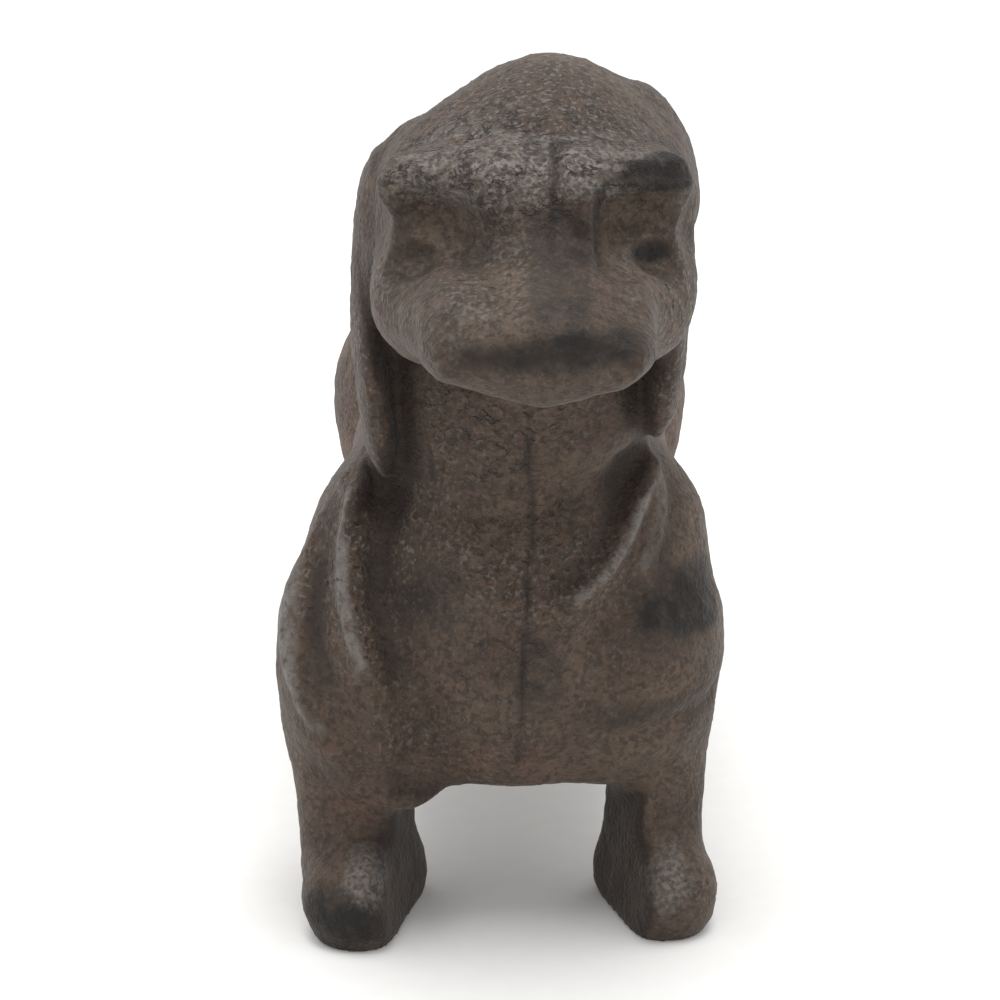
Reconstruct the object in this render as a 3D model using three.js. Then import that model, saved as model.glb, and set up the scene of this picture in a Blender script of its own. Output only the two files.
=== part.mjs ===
// A short-legged hound standing on four paws: a sand-cast iron figurine in one piece.
//
// The figure is modelled the way a sculptor works in clay. Lumps are added one after the other, each
// smoothed into what is there already, and hollows are pressed in. Each lump is a distance function: it
// gives the distance, in millimetres, from a point to the lump's surface, and less than zero inside. At
// the end the clay's skin is walked cell by cell on a grid and turned into one closed mesh.
//
// Frame: +Z up, the ground is z = 0, the dog looks along -Y, and its own right side is at -X.

import * as THREE from "three";

// Driving sizes, in millimetres
const CROWN_HEIGHT = 100; // ground to the top of the skull
const BACK_HEIGHT = 64; // ground to the back, behind the shoulders
const BELLY_HEIGHT = 17; // ground to the breast bone, between the legs
const TRUNK_LENGTH = 118; // foreleg line to the end of the rump
const TRUNK_WIDTH = 36; // across the ribs
const HIP_WIDTH = 49; // across the thighs
const SHOULDER_WIDTH = 51; // across the upper arms
const STANCE_WIDTH = 46.5; // across the outside of the paws
const NECK_WIDTH = 32; // across the throat, without the ears
const HEAD_WIDTH = 34; // across the brows and cheeks
const MUZZLE_WIDTH = 23;
const MUZZLE_LENGTH = 20; // brow to the tip of the nose
const EAR_THICKNESS = 5.5;
const EAR_SPAN = 36.5; // across both ears
const PAW_LENGTH = 21;
const PAW_STAGGER = 3; // the left forepaw stands this much further back than the right one
const TAIL_LENGTH = 44;
const TAIL_THICKNESS = 9.5; // at the root

// The casting isn't quite even: the head sits to one side and looks a little that way, and the shoulders
// lean the other way.
const HEAD_SHIFT = 2.2;
const HEAD_TURN = THREE.MathUtils.degToRad(0.5);
const SHOULDER_SHIFT = -1.2;

// Grid cells, in millimetres: fine where the carving is, long where the trunk only runs straight
const FACE_CELL = 2.15;
const FINE_CELL = 2.5;
const MIDDLE_CELL = 3.3;
const LONG_CELL = 7;
const TAIL_CELL = 4;

// Places that several parts share
const EYE_Z = CROWN_HEIGHT - 17;
const BROW_Z = CROWN_HEIGHT - 12;
const CHEEK_Z = CROWN_HEIGHT - 23;
const FOLD_Z = BACK_HEIGHT - 11; // the lower end of the throat
const NECK_LENGTH = CHEEK_Z - FOLD_Z;
const TRUNK_Z = (BACK_HEIGHT + BELLY_HEIGHT) / 2;
const TRUNK_HALF_HEIGHT = (BACK_HEIGHT - BELLY_HEIGHT) / 2;
const BROW_Y = -26;
const NOSE_Y = BROW_Y - MUZZLE_LENGTH;
const RUMP_Y = TRUNK_LENGTH;
const HIP_Y = RUMP_Y - 16;
const SIDES = [-1, 1];

// An oval lump of clay, turned about its own centre by angles in radians.
function ball(centre, radii, turn = [0, 0, 0]) {
  const back = new THREE.Matrix3().setFromMatrix4(
    new THREE.Matrix4().makeRotationFromEuler(new THREE.Euler(...turn)).transpose(),
  );
  const m = back.elements;
  const [rx, ry, rz] = radii;
  const reach = Math.max(rx, ry, rz);
  const distance = (x, y, z) => {
    const dx = x - centre[0];
    const dy = y - centre[1];
    const dz = z - centre[2];
    const u = m[0] * dx + m[3] * dy + m[6] * dz;
    const v = m[1] * dx + m[4] * dy + m[7] * dz;
    const w = m[2] * dx + m[5] * dy + m[8] * dz;
    const near = Math.hypot(u / rx, v / ry, w / rz);
    const slope = Math.hypot(u / (rx * rx), v / (ry * ry), w / (rz * rz));
    return slope > 1e-9 ? (near * (near - 1)) / slope : -Math.min(rx, ry, rz);
  };
  const far = (x, y, z) => Math.hypot(x - centre[0], y - centre[1], z - centre[2]) - reach;
  return { distance, far };
}

// A roll of clay between two points, with a round end of its own size at each.
function roll(from, fromRadius, to, toRadius) {
  const a = new THREE.Vector3(...from);
  const along = new THREE.Vector3(...to).sub(a);
  const length2 = along.lengthSq();
  const middle = new THREE.Vector3(...to).add(a).multiplyScalar(0.5);
  const reach = Math.sqrt(length2) / 2 + Math.max(fromRadius, toRadius);
  const distance = (x, y, z) => {
    const dx = x - a.x;
    const dy = y - a.y;
    const dz = z - a.z;
    const t = THREE.MathUtils.clamp((dx * along.x + dy * along.y + dz * along.z) / length2, 0, 1);
    const off = Math.hypot(dx - along.x * t, dy - along.y * t, dz - along.z * t);
    return off - THREE.MathUtils.lerp(fromRadius, toRadius, t);
  };
  const far = (x, y, z) => Math.hypot(x - middle.x, y - middle.y, z - middle.z) - reach;
  return { distance, far };
}

// Everything on one side of a plane, for a flat cut. The normal points to the side that stays.
function beyond(point, normal) {
  const n = new THREE.Vector3(...normal).normalize();
  const p = new THREE.Vector3(...point);
  const distance = (x, y, z) => (x - p.x) * n.x + (y - p.y) * n.y + (z - p.z) * n.z;
  return { distance, far: () => -Infinity };
}

// A straight archway through the clay, from under the ground up to its top, and along Y from one place to
// another.
function archway(centreX, halfWidth, top, front, back) {
  const distance = (x, y, z) => {
    const across = Math.abs(x - centreX) - halfWidth;
    const up = z - top;
    const along = Math.max(front - y, y - back);
    const outside = Math.hypot(Math.max(across, 0), Math.max(up, 0), Math.max(along, 0));
    return outside + Math.min(Math.max(across, up, along), 0);
  };
  return { distance, far: () => -Infinity };
}

// The distance from a point to a curve that is drawn on the dog's front, as seen from the front. The curve
// runs through places given as x and z, and fades out towards the back.
function trace(places, backEnd) {
  const curve = new THREE.CatmullRomCurve3(places.map(([x, z]) => new THREE.Vector3(x, 0, z)));
  const points = curve.getPoints(3 * places.length);
  const flatPieces = points.slice(1).map((point, i) => roll(points[i].toArray(), 0, point.toArray(), 0));
  const box = new THREE.Box3().setFromPoints(points);
  return {
    distance: (x, y, z) => {
      const across = Math.min(...flatPieces.map((piece) => piece.distance(x, 0, z)));
      return Math.hypot(across, Math.max(y - backEnd, 0) / 2);
    },
    far: (x, y, z) => Math.max(box.min.x - x, x - box.max.x, box.min.z - z, z - box.max.z, (y - backEnd) / 2),
  };
}

// A lump seen in a frame that is shifted sideways and turned about an upright line, as the head is on the
// neck.
function turned(lump, shift, angle, pivotY) {
  const c = Math.cos(angle);
  const s = Math.sin(angle);
  const inside = (x, y, z) => {
    const dx = x - shift;
    const dy = y - pivotY;
    return [c * dx + s * dy, pivotY - s * dx + c * dy, z];
  };
  return {
    distance: (x, y, z) => lump.distance(...inside(x, y, z)),
    far: (x, y, z) => lump.far(...inside(x, y, z)),
  };
}

// One step of the modelling: a lump is added to the clay or pressed out of it, and the joint is smoothed
// over a width.
const add = (lump, blend) => ({ lump, blend, sign: 1 });
const press = (lump, blend) => ({ lump, blend, sign: -1 });

// A fold raised along a curve on the front, or a crease sunk in along it where the height is less than zero.
const fold = (places, width, height, backEnd = -2) => ({ lump: trace(places, backEnd), width, height });

// The distance from a point to all the clay, after every step in turn.
function clayDistance(steps, x, y, z) {
  let d = 1e3;
  for (const { lump, blend, sign, width, height } of steps) {
    if (height) {
      if (Math.abs(d) > 4 * width || lump.far(x, y, z) > 2.5 * width) continue;
      d -= height * Math.exp(-((lump.distance(x, y, z) / width) ** 2));
      continue;
    }
    if (sign > 0 && lump.far(x, y, z) > d + blend) continue;
    if (sign < 0 && lump.far(x, y, z) > blend - d) continue;
    const other = sign * lump.distance(x, y, z);
    const share = Math.max(blend - Math.abs(d - other), 0) / blend;
    const soft = (share * share * blend) / 4;
    d = sign > 0 ? Math.min(d, other) - soft : Math.max(d, other) + soft;
  }
  return d;
}

// The trunk: ribs, loin and rump in one long barrel, flat below, and a little hollow behind the withers.
function trunk() {
  const half = TRUNK_WIDTH / 2;
  return [
    add(ball([0, 28, TRUNK_Z - 5], [half, 36, TRUNK_HALF_HEIGHT + 6]), 1),
    add(ball([0, HIP_Y * 0.6, TRUNK_Z - 2], [half, HIP_Y * 0.45, TRUNK_HALF_HEIGHT + 1]), 14),
    add(ball([0, HIP_Y - 1, TRUNK_Z + 1.5], [half + 1, 20, TRUNK_HALF_HEIGHT - 2.5]), 12),
    add(ball([0, 3, TRUNK_Z - 4], [half, 17.5, TRUNK_HALF_HEIGHT + 1]), 6),
    press(beyond([0, -8, BELLY_HEIGHT - 0.5], [0, -0.06, 1]), 3),
  ];
}

// A neck like a short barrel. It ends below in a soft fold over the breast.
function neck() {
  const half = NECK_WIDTH / 2;
  const dewlap = [
    [-half, FOLD_Z + 1],
    [-half + 4.5, FOLD_Z + 1.2],
    [0.5, FOLD_Z + 1.6],
    [half - 6, FOLD_Z + 4.5],
    [half - 1, FOLD_Z + 8],
  ];
  const below = dewlap.map(([x, z]) => [x * 1.03, z - 3.6]);
  return [
    add(roll([0, 14, BACK_HEIGHT - 11], 14, [1, 0, FOLD_Z + NECK_LENGTH * 0.6], 14), 8),
    add(ball([0.2, 0, FOLD_Z + NECK_LENGTH * 0.45], [half, 14.5, NECK_LENGTH * 0.54], [-0.12, 0.1, 0]), 3),
    add(ball([1.5, -2, CHEEK_Z], [half - 0.5, 13, NECK_LENGTH * 0.58]), 6),
    fold(dewlap, 3, 0.8),
    fold(below, 1.8, -0.4),
  ];
}

// A shoulder and upper arm, a heavy pad that stands out from the ribs.
function shoulder(side) {
  const thick = 11.5;
  const x = side * (SHOULDER_WIDTH / 2 - thick) + SHOULDER_SHIFT;
  const higher = side > 0 ? 3 : 0;
  return [
    add(ball([x, 3, TRUNK_Z - 13 + higher], [thick, 14, 20 - higher], [0, side * 0.06, 0]), 4),
    add(ball([x * 0.74, 6, TRUNK_Z + 0.5], [8.5, 13, 11]), 5),
    add(ball([side * 11.5, 6, TRUNK_Z + 4.5], [10.2, 12, 9]), 4),
  ];
}

// The loose skin of a short-legged hound: folds from the throat down over the shoulders, and a crease at
// an elbow.
function looseSkin() {
  const out = SHOULDER_WIDTH / 2;
  const leftRim = [
    [-out + 7, FOLD_Z - 2],
    [-out + 3.6, FOLD_Z - 7],
    [-out + 1.6, FOLD_Z - 14],
    [-out + 0.8, FOLD_Z - 22],
    [-out + 2.4, FOLD_Z - 28],
    [-out + 6, FOLD_Z - 31],
  ];
  const leftFront = [
    [-out + 8, FOLD_Z - 1],
    [-out + 7.4, FOLD_Z - 12],
    [-out + 11, FOLD_Z - 24],
    [-out + 11.5, FOLD_Z - 30],
  ];
  const leftHollow = leftFront.map(([x, z]) => [x + 4, z]);
  const rightFront = [
    [out - 9.6, FOLD_Z + 5],
    [out - 10.8, FOLD_Z],
    [out - 14.5, FOLD_Z - 7],
    [out - 18, FOLD_Z - 12],
  ];
  const rightSide = [
    [out - 8, FOLD_Z - 0.5],
    [out - 9, FOLD_Z - 5],
    [out - 11.5, FOLD_Z - 9],
  ];
  const rightHollow = rightFront.map(([x, z]) => [x + 2.6, z - 2.4]);
  const elbow = [
    [out - 14, FOLD_Z - 28.5],
    [out - 8, FOLD_Z - 27],
    [out - 2, FOLD_Z - 25.5],
  ];
  return [
    fold(leftRim, 2, 1.1),
    fold(leftFront, 2.2, 1.4),
    fold(leftHollow, 2.4, -0.8),
    fold(rightFront, 2, 1.1),
    fold(rightHollow, 1.7, -0.7),
    fold(rightSide, 1.8, 0.8),
    fold(elbow, 1.3, -0.8),
  ];
}

// A foreleg: a short post on a paw whose toes point outwards. The inner side is flat, from the heel to the
// toes.
function foreleg(side) {
  const out = STANCE_WIDTH / 2;
  const back = side > 0 ? PAW_STAGGER : 0;
  const x = side > 0 ? out - 7.45 : 5.05 - out;
  const toe = [side * (out - 5.9), -8.3 + back, 3.6];
  const heel = [side * (out - 9.2), PAW_LENGTH - 17, 3.4];
  const shank = side * (out - 8);
  const along = [toe[0] - heel[0], toe[1] - heel[1]];
  const width = Math.hypot(...along);
  const normal = [-along[1] * side, along[0] * side, -0.1 * width];
  const innerHeel = [side * (out - 14), heel[1] + 1, 0];
  const post = [
    add(roll([x, 1, BELLY_HEIGHT + 7], side > 0 ? 6.8 : 7.2, [x, -2 + back / 2, 7], 5.9), 2),
    add(roll([shank, heel[1] - 1, BELLY_HEIGHT + 1], 4.2, [shank, heel[1] - 1, 6], 4.2), 4),
    add(roll(heel, 4.9, toe, 5.4), 3),
    add(ball([toe[0], toe[1] + 0.4, 5], [5.1, 5.9, 4.9]), 4),
    press(beyond(innerHeel, normal), 1.4),
  ];
  return {
    distance: (px, py, pz) => clayDistance(post, px, py, pz),
    far: (px, py, pz) => Math.hypot(px - x, py, pz - 14) - 30,
  };
}

// A hind leg: a round haunch, a narrower shank and a long flat paw.
function hindleg(side) {
  const out = HIP_WIDTH / 2;
  const x = side * (STANCE_WIDTH / 2 - 8.5);
  const hock = [x, HIP_Y + 5, 12];
  const heel = [x, HIP_Y + 4, 2.6];
  const toe = [x + side * 0.8, HIP_Y + 13 - PAW_LENGTH, 2.6];
  return [
    add(ball([side * (out - 11), HIP_Y + 1, TRUNK_Z - 5.5], [11, 16, 13.5], [0.15, 0, 0]), 6),
    add(roll([side * (out - 12), HIP_Y - 4, TRUNK_Z - 15.5], 8.5, hock, 6.6), 6),
    add(roll(hock, 6.4, heel, 5.6), 3),
    add(roll(heel, 5.4, toe, 5.6), 3),
  ];
}

// The tail leaves the rump in line with the back and droops.
function tail() {
  const joints = 12;
  const place = (t) => [
    0,
    RUMP_Y - 9 + TAIL_LENGTH * (0.62 * t + 0.2 * Math.sin(t * 2)),
    BACK_HEIGHT - 13 - TAIL_LENGTH * 0.6 * t * t,
  ];
  const thick = (t) => (TAIL_THICKNESS / 2) * (1 - 0.45 * t);
  const steps = [add(roll(place(-0.1), thick(-0.3), place(0.2), thick(0.2)), 8)];
  for (let i = 2; i < joints; i++) {
    const t0 = i / joints;
    const t1 = (i + 1) / joints;
    steps.push(add(roll(place(t0), thick(t0), place(t1), thick(t1)), i === 2 ? 3 : 0.3));
  }
  return steps;
}

// The skull, the brows that overhang the eyes, the round cheeks and the broad, blunt muzzle with its lips.
function head() {
  const half = HEAD_WIDTH / 2;
  const muzzle = MUZZLE_WIDTH / 2;
  const steps = [
    add(ball([0.4, -7, CROWN_HEIGHT - 15], [half - 0.4, 18, 12.2]), 4),
    add(ball([2, -5.5, CROWN_HEIGHT - 9], [8, 13, 8.4]), 7),
    add(ball([0.8, -14, CROWN_HEIGHT - 13.5], [half - 1.8, 15, 9.2]), 5),
  ];
  for (const side of SIDES) {
    const browEnd = [side * (half - 4), BROW_Y + 5, BROW_Z + 1.2];
    const jowlX = side > 0 ? 6.7 : -8.4;
    steps.push(
      add(roll(browEnd, 3.6, [side * 4, BROW_Y + 0.6, BROW_Z + 2], 3.4), 3),
      add(ball([side * (half - 6), BROW_Y + 8, CHEEK_Z + 0.5], [6, 9.5, 7.6]), 5),
      add(ball([jowlX, BROW_Y - 3, CHEEK_Z], [6, 13, 5.2], [0, 0, -side * 0.34]), 4),
    );
  }
  steps.push(
    add(roll([0.8, BROW_Y + 3.4, EYE_Z + 0.2], 6.2, [0.8, NOSE_Y + 6, CHEEK_Z - 1.8], 4), 3.5),
    add(ball([0.6, BROW_Y - 6, CHEEK_Z - 0.6], [muzzle - 2, MUZZLE_LENGTH - 7, 5]), 3),
    add(ball([0.5, NOSE_Y + 8.5, CHEEK_Z - 1.6], [muzzle - 0.4, 8.2, 4]), 3),
    press(beyond([0, NOSE_Y + 1, CHEEK_Z], [0, 1, 0.3]), 2.5),
  );
  for (const side of SIDES) {
    const eye = side * (half - 5.4);
    const socketTurn = [0, side * 0.3, side * 0.3];
    const socket = ball([eye + side * 0.9, BROW_Y - 5, EYE_Z + 2.8], [6.4, 8, 4.8], socketTurn);
    steps.push(
      press(ball([side * (half + 1.4), BROW_Y + 6, EYE_Z + 1.4], [3, 7, 3.6]), 2),
      press(socket, side > 0 ? 1.6 : 2.6),
      add(ball([eye - side * 0.8, BROW_Y + 6.2, EYE_Z - 0.4], [3.6, 4.6, 3.6]), 2),
      press(ball([eye + side * 1.6, BROW_Y + 0.6, EYE_Z - 0.8], [2.4, 1.7, 1.7]), 2),
    );
  }
  const leftLip = [
    [-6.9, CHEEK_Z + 5.5],
    [-8.2, CHEEK_Z + 2.5],
    [-8.4, CHEEK_Z - 1],
    [-7.4, CHEEK_Z - 4],
  ];
  const rightLip = [
    [13.7, CHEEK_Z + 3.5],
    [13.3, CHEEK_Z + 0.5],
    [12.5, CHEEK_Z - 2],
    [11.2, CHEEK_Z - 4],
  ];
  const lips = [leftLip, rightLip].map((lip) => fold(lip, 1.7, 0.6, BROW_Y - 6));
  return [...steps.map((step) => ({ ...step, lump: turned(step.lump, HEAD_SHIFT, HEAD_TURN, -6) })), ...lips];
}

// A drop ear: it hangs from the side of the skull, behind the cheek, and its thin lobe lies on the throat.
function ear(side) {
  const half = EAR_THICKNESS / 2;
  const x = side * (EAR_SPAN / 2 - half) + 0.5;
  const root = side > 0 ? [x, 0, EYE_Z + 4.6] : [x + 2.6, -1, EYE_Z + 0.4];
  const tip = FOLD_Z + (side > 0 ? 7 : 2.5);
  const wide = 8.5;
  const lobeMiddle = [side > 0 ? x + 0.8 : x, -4, (CHEEK_Z + tip) / 2 - 1];
  return [
    add(ball(root, [half + 1, wide - 1, 8.5], [0, -side * 0.3, 0]), 3),
    add(ball([x - side * 0.6, -2, EYE_Z - 7], [half, wide, 13]), 2.5),
    add(ball(lobeMiddle, [half - 0.5, wide + 1, (CHEEK_Z - tip) / 2 + 1.5], [0, side * 0.1, 0]), 1.6),
  ];
}

const steps = [...trunk()];
SIDES.forEach((side) => steps.push(...shoulder(side)));
steps.push(press(archway(-0.5, STANCE_WIDTH / 2 - 11, BELLY_HEIGHT - 0.5, NOSE_Y, 22), 2));
steps.push(add(ball([11 - STANCE_WIDTH / 2, -4, BELLY_HEIGHT], [4, 7, 2]), 1.5));
SIDES.forEach((side) => steps.push(add(foreleg(side), 1.5)));
SIDES.forEach((side) => steps.push(...hindleg(side)));
steps.push(press(archway(0, STANCE_WIDTH / 2 - 15, BELLY_HEIGHT + 2, HIP_Y - 28, RUMP_Y + 12), 3));
steps.push(...looseSkin(), ...neck(), ...tail());
SIDES.forEach((side) => steps.push(...ear(side)));
steps.push(...head());

// Grid lines from one value to another, where the cell size may change along the way.
function gridLines(from, to, cellAt) {
  const lines = [from];
  while (lines.at(-1) < to) lines.push(lines.at(-1) + cellAt(lines.at(-1)));
  return lines;
}

const CORNERS = [0, 1, 2, 3, 4, 5, 6, 7].map((c) => [c & 1, (c >> 1) & 1, (c >> 2) & 1]);
const EDGES = [1, 2, 4].flatMap((bit) => {
  const starts = [0, 1, 2, 3, 4, 5, 6, 7].filter((c) => !(c & bit));
  return starts.map((c) => [c, c | bit]);
});
// Each cell face as four corners in order round it
const FACES = [0, 1, 2].flatMap((axis) => {
  const [u, v] = [1 << ((axis + 1) % 3), 1 << ((axis + 2) % 3)];
  return [0, 1 << axis].map((base) => [base, base | u, base | u | v, base | v]);
});

// True where the corners of one cell that are alike, all inside or all outside, aren't joined by its edges.
function parted(inside, wanted) {
  const members = CORNERS.map((_, c) => c).filter((c) => inside[c] === wanted);
  if (members.length < 2) return false;
  const reached = new Set([members[0]]);
  for (let round = 0; round < members.length; round++) {
    for (const [a, b] of EDGES) {
      if (inside[a] !== wanted || inside[b] !== wanted) continue;
      if (reached.has(a) || reached.has(b)) reached.add(a).add(b);
    }
  }
  return reached.size < members.length;
}

// Where the skin would only touch itself along an edge or at a corner, the thin gap there is filled with
// clay.
function fillPinches(field, at, [nx, ny, nz]) {
  for (let changed = true; changed; ) {
    changed = false;
    for (let i = 0; i < nx - 1; i++)
      for (let j = 0; j < ny - 1; j++)
        for (let k = 0; k < nz - 1; k++) {
          const places = CORNERS.map(([a, b, c]) => at(i + a, j + b, k + c));
          const inside = places.map((place) => field[place] < 0);
          const count = inside.filter(Boolean).length;
          if (count < 2 || count > 6) continue;
          const crossing = FACES.some(
            ([a, b, c, d]) => inside[a] === inside[c] && inside[b] === inside[d] && inside[a] !== inside[b],
          );
          if (!crossing && !parted(inside, true) && !parted(inside, false)) continue;
          const outside = places.filter((place) => field[place] >= 0);
          const nearest = outside.reduce((best, place) => (field[place] < field[best] ? place : best));
          field[nearest] = -0.01;
          changed = true;
        }
  }
}

// The clay's skin as a closed mesh. Each cell that the skin crosses gets one vertex, drawn onto the skin,
// and each grid edge that the skin crosses gets one quad between the four cells around it. What reaches
// below ground is laid flat.
function skin(distance, xs, ys, zs) {
  const nx = xs.length;
  const ny = ys.length;
  const nz = zs.length;
  const at = (i, j, k) => (i * ny + j) * nz + k;
  const field = new Float64Array(nx * ny * nz);
  for (let i = 0; i < nx; i++) {
    for (let j = 0; j < ny; j++) {
      for (let k = 0; k < nz; k++) field[at(i, j, k)] = distance(xs[i], ys[j], zs[k]);
    }
  }
  fillPinches(field, at, [nx, ny, nz]);

  const vertexOf = new Int32Array(nx * ny * nz).fill(-1);
  const positions = [];
  for (let i = 0; i < nx - 1; i++)
    for (let j = 0; j < ny - 1; j++)
      for (let k = 0; k < nz - 1; k++) {
        const value = CORNERS.map(([a, b, c]) => field[at(i + a, j + b, k + c)]);
        const crossed = EDGES.filter(([a, b]) => value[a] < 0 !== value[b] < 0);
        if (!crossed.length) continue;
        const p = [0, 0, 0];
        for (const [a, b] of crossed) {
          const t = value[a] / (value[a] - value[b]);
          const between = (lines, n, axis) =>
            THREE.MathUtils.lerp(lines[n + CORNERS[a][axis]], lines[n + CORNERS[b][axis]], t);
          p[0] += between(xs, i, 0) / crossed.length;
          p[1] += between(ys, j, 1) / crossed.length;
          p[2] += between(zs, k, 2) / crossed.length;
        }
        vertexOf[at(i, j, k)] = positions.length / 3;
        positions.push(...drawnOnto(distance, p, [xs, ys, zs], [i, j, k]));
      }

  const index = [];
  const apart = (a, b, axis) => positions[3 * a + axis] - positions[3 * b + axis];
  const gap = (a, b) => Math.hypot(apart(a, b, 0), apart(a, b, 1), apart(a, b, 2));
  const quad = (ring, flip) => {
    if (Math.min(...ring) < 0) throw new Error("the skin runs out of the grid");
    const [a, b, c, d] = flip ? ring.toReversed() : ring;
    index.push(...(gap(a, c) < gap(b, d) ? [a, b, c, a, c, d] : [a, b, d, b, c, d]));
  };
  for (let i = 1; i < nx - 1; i++)
    for (let j = 1; j < ny - 1; j++)
      for (let k = 1; k < nz - 1; k++) {
        const inside = field[at(i, j, k)] < 0;
        const cell = (a, b, c) => vertexOf[at(i - a, j - b, k - c)];
        const alongX = [cell(0, 1, 1), cell(0, 0, 1), cell(0, 0, 0), cell(0, 1, 0)];
        const alongY = [cell(1, 0, 1), cell(1, 0, 0), cell(0, 0, 0), cell(0, 0, 1)];
        const alongZ = [cell(1, 1, 0), cell(0, 1, 0), cell(0, 0, 0), cell(1, 0, 0)];
        if (inside !== field[at(i + 1, j, k)] < 0) quad(alongX, !inside);
        if (inside !== field[at(i, j + 1, k)] < 0) quad(alongY, !inside);
        if (inside !== field[at(i, j, k + 1)] < 0) quad(alongZ, !inside);
      }
  for (let n = 2; n < positions.length; n += 3) positions[n] = Math.max(positions[n], 0);
  return { positions, index };
}

// A point moved onto the skin along the steepest way, but kept inside its own cell.
function drawnOnto(distance, start, lines, cell) {
  const step = 0.05;
  const p = [...start];
  for (let round = 0; round < 3; round++) {
    const d = distance(...p);
    const slope = [0, 1, 2].map((axis) => {
      const q = [...p];
      q[axis] += step;
      return (distance(...q) - d) / step;
    });
    const steep = slope.reduce((sum, v) => sum + v * v, 1e-9);
    for (let axis = 0; axis < 3; axis++) {
      const low = lines[axis][cell[axis]];
      const high = lines[axis][cell[axis] + 1];
      const margin = 0.08 * (high - low);
      p[axis] = THREE.MathUtils.clamp(p[axis] - (d * slope[axis]) / steep, low + margin, high - margin);
    }
  }
  return p;
}

const soleDepth = 0.8; // the clay goes on below ground by this much, and is laid flat
const widest = Math.max(SHOULDER_WIDTH, HIP_WIDTH, EAR_SPAN, STANCE_WIDTH);
const reach = {
  x: widest / 2 + 5.5,
  front: NOSE_Y - 4,
  back: RUMP_Y + TAIL_LENGTH,
  under: -6,
  top: CROWN_HEIGHT + 4,
};
const chestEnd = 4;
const shoulderEnd = 18;
const haunchFront = HIP_Y - 20;
const rumpEnd = RUMP_Y + 2;
function cellAlong(y) {
  if (y < BROW_Y + 6) return FACE_CELL;
  if (y < chestEnd) return FINE_CELL;
  if (y < shoulderEnd) return MIDDLE_CELL;
  if (y < haunchFront) return LONG_CELL;
  return y < rumpEnd ? MIDDLE_CELL : TAIL_CELL;
}
function cellUp(z) {
  if (z < BELLY_HEIGHT) return FINE_CELL;
  return z < CHEEK_Z - 10 ? MIDDLE_CELL : FACE_CELL;
}
const { positions, index } = skin(
  (x, y, z) => Math.max(clayDistance(steps, x, y, z), -z - soleDepth),
  gridLines(-reach.x, reach.x, () => FINE_CELL),
  gridLines(reach.front, reach.back, cellAlong),
  gridLines(reach.under, reach.top, cellUp),
);
const geometry = new THREE.BufferGeometry();
geometry.setAttribute("position", new THREE.Float32BufferAttribute(positions, 3));
geometry.setIndex(index);
geometry.computeBoundingBox();
const middle = geometry.boundingBox.getCenter(new THREE.Vector3());
geometry.translate(-middle.x, -middle.y, 0);
geometry.computeVertexNormals();

const castIron = new THREE.MeshStandardMaterial({ color: 0x574d45, roughness: 0.62, metalness: 0.55 });
const dog = new THREE.Mesh(geometry, castIron);
dog.name = "dog";

const figurine = new THREE.Group();
figurine.add(dog);
export default figurine;
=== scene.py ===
# %% [markdown]
# # A cast-iron hound, modelled like clay
#
# The real thing is a small figurine, cast in one piece of grey iron in a sand mould and left with a brown
# oxide patina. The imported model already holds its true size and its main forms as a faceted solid. Here the
# same clay is walked again on a much finer grid, so that the folds, the wrinkles and the sand's skin become
# real geometry, and a material gives it the iron.
#
# Everything is worked out in millimetres, as a founder would, and turned to Blender's metres at the very
# end.

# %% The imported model, which is the frame for everything else
import math

import bpy
import numpy as np
from mathutils import Euler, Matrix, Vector, noise


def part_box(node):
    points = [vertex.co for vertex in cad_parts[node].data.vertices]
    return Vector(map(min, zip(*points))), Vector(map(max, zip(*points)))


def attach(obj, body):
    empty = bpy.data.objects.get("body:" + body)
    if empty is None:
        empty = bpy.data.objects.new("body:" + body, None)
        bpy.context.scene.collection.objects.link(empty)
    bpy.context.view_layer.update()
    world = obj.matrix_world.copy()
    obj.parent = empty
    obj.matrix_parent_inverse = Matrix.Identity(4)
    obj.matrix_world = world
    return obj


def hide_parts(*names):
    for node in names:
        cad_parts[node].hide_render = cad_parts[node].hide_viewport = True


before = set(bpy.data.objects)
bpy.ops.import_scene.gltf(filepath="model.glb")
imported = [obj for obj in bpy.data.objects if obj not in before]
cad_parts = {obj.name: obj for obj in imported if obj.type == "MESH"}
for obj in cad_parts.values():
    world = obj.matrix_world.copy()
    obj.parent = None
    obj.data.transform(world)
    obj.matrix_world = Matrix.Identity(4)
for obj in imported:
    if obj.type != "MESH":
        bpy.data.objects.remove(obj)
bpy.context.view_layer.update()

MM = 0.001  # a millimetre in Blender's unit
cad_low, cad_high = (np.array(corner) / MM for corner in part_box("dog"))
print("the solid is", np.round(cad_high - cad_low, 2), "mm")

# %% [markdown]
# ## The camera
#
# The picture was taken from in front and a little above, with the lens aimed at the dog's throat. A long
# lens from about 40 cm away gives the same perspective: the head looks large and the rump hides behind it.
# The camera comes first, because everything after it can then be judged through it.

# %% The camera, at the photograph's angle
CAMERA_TILT = math.radians(16)  # looking down by this much
CAMERA_AWAY = 420
AIMED_AT = np.array([-0.2, -45.6, 47.6])
FOCAL_LENGTH = 132.8  # on a sensor 36 mm wide

forward = Vector((0, math.cos(CAMERA_TILT), -math.sin(CAMERA_TILT)))
camera = bpy.data.objects.new("camera", bpy.data.cameras.new("camera"))
camera.data.lens = FOCAL_LENGTH
camera.data.sensor_width = 36
camera.location = (Vector(AIMED_AT) - CAMERA_AWAY * forward) * MM
camera.rotation_euler = forward.to_track_quat("-Z", "Y").to_euler()
bpy.context.scene.collection.objects.link(camera)
bpy.context.scene.camera = camera
print("the camera stands", np.round(np.array(camera.location) / MM), "mm from the dog's middle")

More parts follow.
